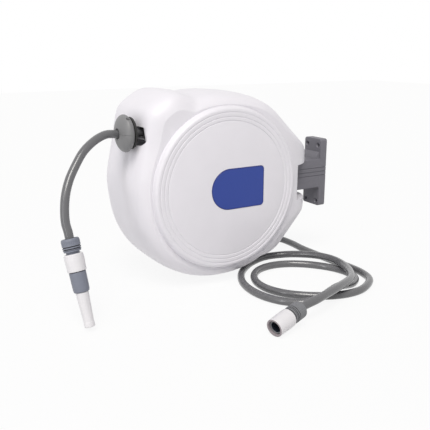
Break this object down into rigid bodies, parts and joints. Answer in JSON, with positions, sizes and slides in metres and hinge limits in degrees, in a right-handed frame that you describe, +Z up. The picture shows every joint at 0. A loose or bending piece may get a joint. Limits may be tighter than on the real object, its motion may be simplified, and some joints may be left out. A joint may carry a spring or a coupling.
{
  "type": "retractable hose reel",
  "caption": "Swivelling wall-mounted retractable hose reel: rounded housing with round front cover, outlet hose with stopper and nozzle, loose supply hose with connector.",
  "frame": {"origin": "centre of the wall plate's back face, which lies on the wall", "axes": "+X into the wall, +Z up, the round front cover faces -Y and the hose leaves towards -X"},
  "size_m": [0.6724, 0.5085, 0.4078],
  "materials": {
    "housing": "satin off-white moulded plastic",
    "fitting_white": "satin white moulded plastic",
    "badge": "smooth blue moulded plastic",
    "bracket": "satin grey moulded plastic",
    "grey": "satin mid-grey moulded plastic",
    "nozzle_grey": "satin blue-grey moulded plastic",
    "pale": "smooth pale grey moulded plastic",
    "dark": "dark moulded plastic",
    "hose": "smooth grey flexible hose",
    "rubber": "matt black rubber",
    "steel": "zinc-plated steel",
    "bush": "sintered bronze"
  },
  "bodies": {
    "bracket": {"wall_bracket": "bracket", "swivel_pin": "steel", "swivel_bush_upper": "bush", "swivel_bush_lower": "bush", "pin_clip": "steel"},
    "housing": {"housing_shell": "housing", "front_cover": "housing", "badge_plate": "badge", "housing_screw_1": "steel", "housing_screw_2": "steel", "housing_screw_3": "steel", "housing_screw_4": "steel", "housing_screw_5": "steel", "housing_screw_6": "steel", "guide_rail_upper": "steel", "guide_rail_lower": "steel", "guide_carriage": "pale", "guide_pin_left": "steel", "guide_pin_right": "steel", "axle": "steel", "spring_arbor": "dark", "power_spring": "steel", "inlet_elbow": "grey", "elbow_clamp": "steel", "swivel_seal_front": "rubber", "swivel_seal_rear": "rubber", "pawl_pin": "steel", "pawl_spring": "steel", "inlet_hose": "hose", "inlet_nut": "grey", "inlet_connector": "grey", "inlet_seal": "rubber"},
    "drum": {"drum_core": "grey", "drum_flange_front": "grey", "drum_flange_rear": "grey", "spring_cover": "dark", "ratchet_ring": "dark", "water_swivel": "pale", "hose_winding": "hose", "drum_bush_front": "bush", "drum_bush_rear": "bush"},
    "hose_end": {"lead_hose": "hose", "stopper_upper": "grey", "stopper_lower": "grey", "stopper_screw_1": "steel", "stopper_screw_2": "steel", "stopper_bumper": "rubber", "outlet_hose": "hose", "outlet_nut": "nozzle_grey", "outlet_connector": "nozzle_grey", "nozzle_body": "nozzle_grey"},
    "guide_roller_left": {"guide_roller_left": "pale"},
    "guide_roller_right": {"guide_roller_right": "pale"},
    "pawl": {"pawl": "dark"},
    "outlet_sleeve": {"outlet_sleeve": "fitting_white"},
    "inlet_sleeve": {"inlet_sleeve": "fitting_white"},
    "nozzle_tip": {"nozzle_tip": "fitting_white"}
  },
  "joints": [
    {"name": "swivel", "type": "hinge", "parent": "bracket", "child": "housing", "pos_m": [-0.087, 0, 0], "axis": [0, 0, 1], "range_deg": [-72, 72]},
    {"name": "drum_spin", "type": "hinge", "parent": "housing", "child": "drum", "pos_m": [-0.309, 0, 0.006], "axis": [0, -1, 0], "range_deg": [0, 60], "stiffness_Nm_per_rad": 0.3, "springref_deg": -171.89},
    {"name": "hose_pull", "type": "slide", "parent": "housing", "child": "hose_end", "axis": [-1, 0, 0], "range_m": [0, 0.1278]},
    {"name": "roller_left", "type": "hinge", "parent": "housing", "child": "guide_roller_left", "pos_m": [-0.43556, -0.0184, 0.128], "axis": [0, 0, 1], "continuous": true},
    {"name": "roller_right", "type": "hinge", "parent": "housing", "child": "guide_roller_right", "pos_m": [-0.43556, -0.0476, 0.128], "axis": [0, 0, 1], "continuous": true},
    {"name": "pawl_swing", "type": "hinge", "parent": "housing", "child": "pawl", "pos_m": [-0.2665, 0, -0.0676], "axis": [0, -1, 0], "range_deg": [0, 15], "stiffness_Nm_per_rad": 0.01, "springref_deg": -28.65},
    {"name": "outlet_collar", "type": "slide", "parent": "hose_end", "child": "outlet_sleeve", "axis": [-0.082, 0.2729, 0.9585], "range_m": [0, 0.0037], "stiffness_N_per_m": 500, "springref_m": -0.003},
    {"name": "inlet_collar", "type": "slide", "parent": "housing", "child": "inlet_sleeve", "axis": [0.9513, 0.2504, 0.18], "range_m": [0, 0.0037], "stiffness_N_per_m": 500, "springref_m": -0.003},
    {"name": "nozzle_twist", "type": "hinge", "parent": "hose_end", "child": "nozzle_tip", "pos_m": [-0.6487, -0.1413, -0.1303], "axis": [0.082, -0.2729, -0.9585], "range_deg": [0, 180]}
  ],
  "couplings": [
    {"joint": "hose_pull", "follows": "drum_spin", "m_per_rad": 0.122}
  ]
}
